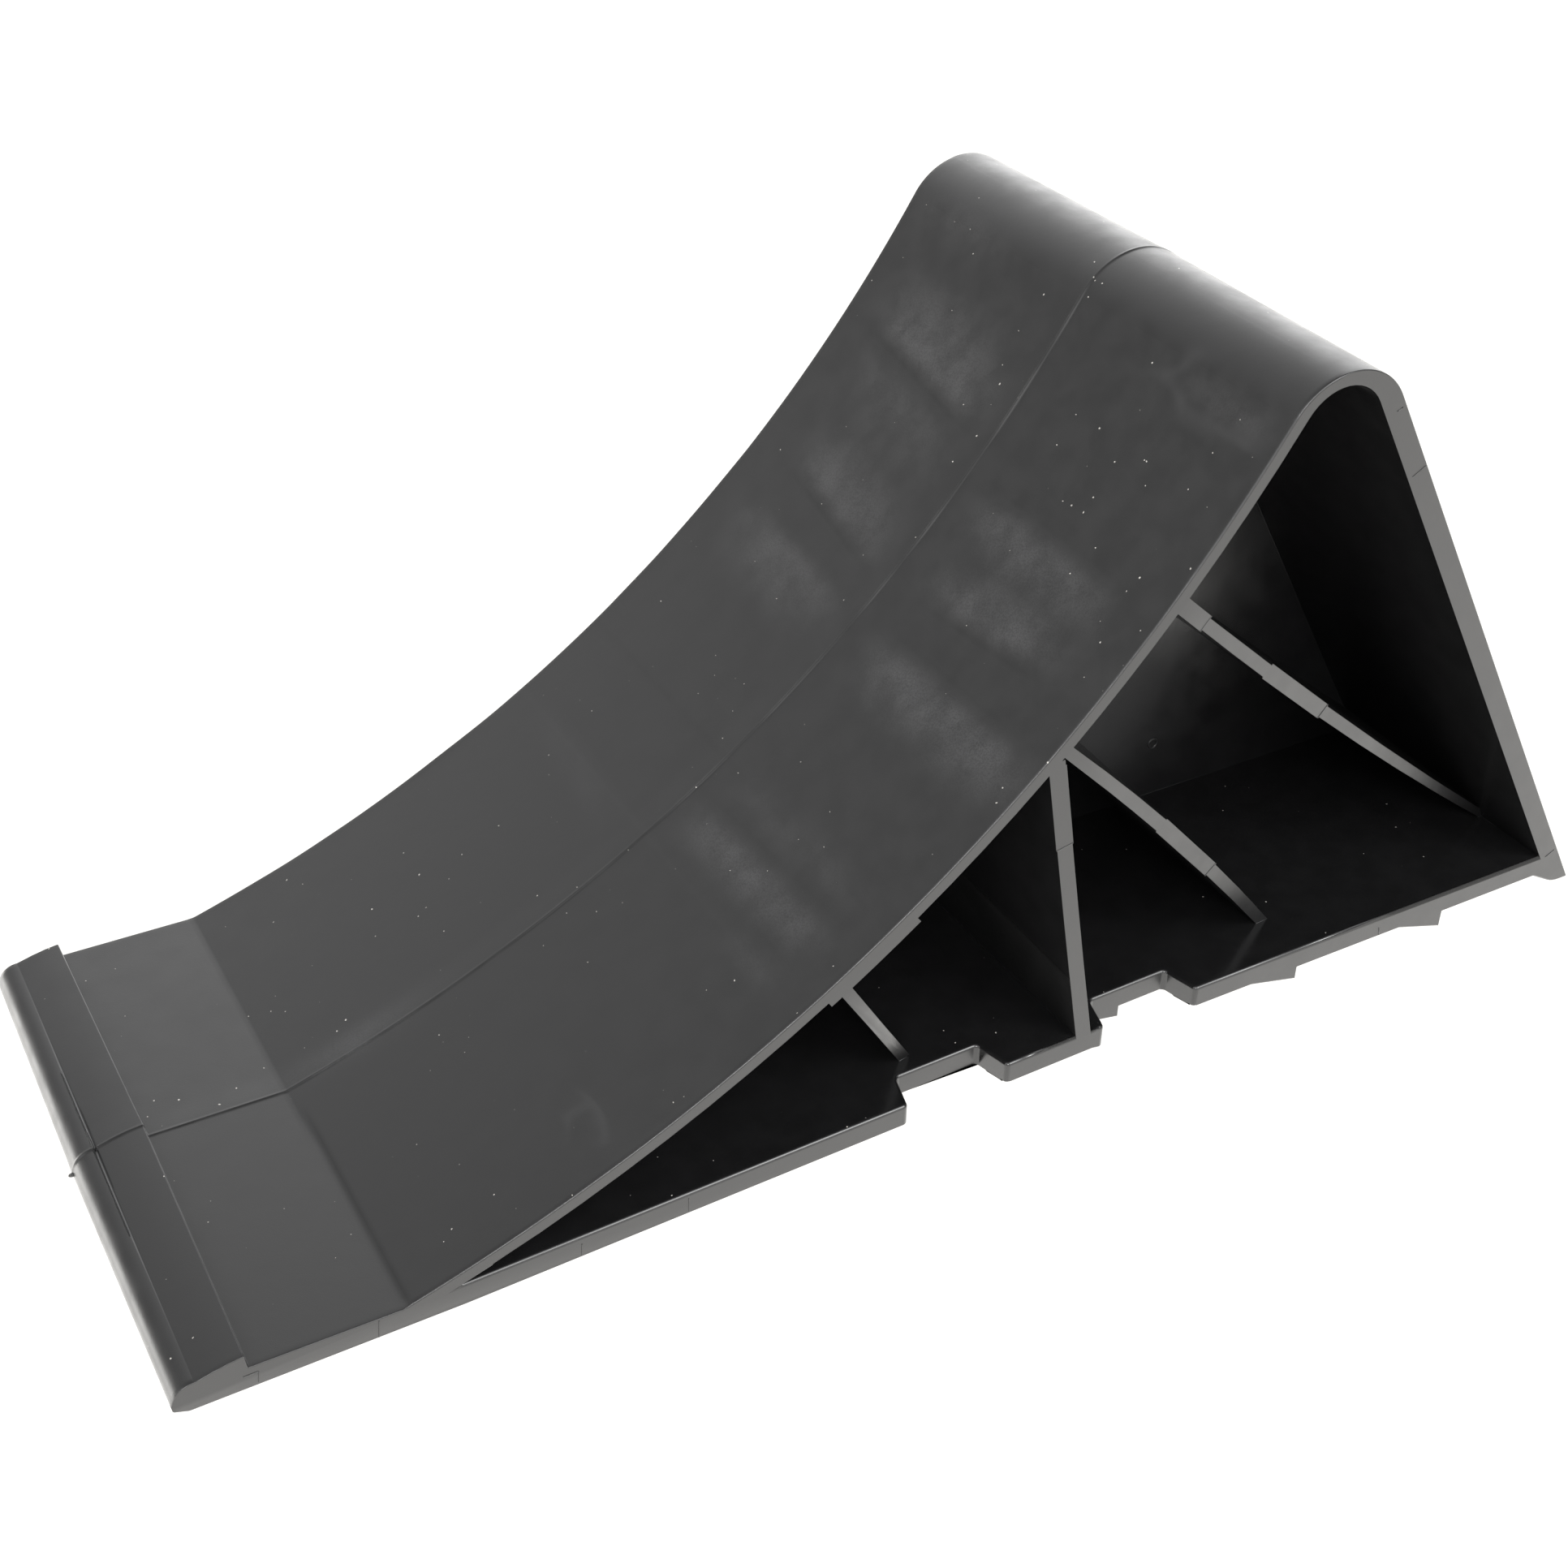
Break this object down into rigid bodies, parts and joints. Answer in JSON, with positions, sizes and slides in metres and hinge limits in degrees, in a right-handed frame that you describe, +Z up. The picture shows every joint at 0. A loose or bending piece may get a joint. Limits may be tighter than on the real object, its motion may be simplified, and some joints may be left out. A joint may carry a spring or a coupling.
{
  "type": "wheel chock",
  "caption": "Moulded wheel chock with a concave tyre face, ribbed side pockets, a lipped toe plate, holder notches and ground teeth.",
  "frame": {"origin": "middle of the footprint, on the ground plane and on the centre plane of the chock", "axes": "+X from the toe to the heel, +Y to one side, +Z up from the ground"},
  "size_m": [0.4086, 0.16, 0.1813],
  "materials": {
    "moulded_plastic": "black moulded plastic, satin on the outside and smoother in the side pockets"
  },
  "bodies": {
    "root": {"chock_body": "moulded_plastic"}
  },
  "joints": []
}
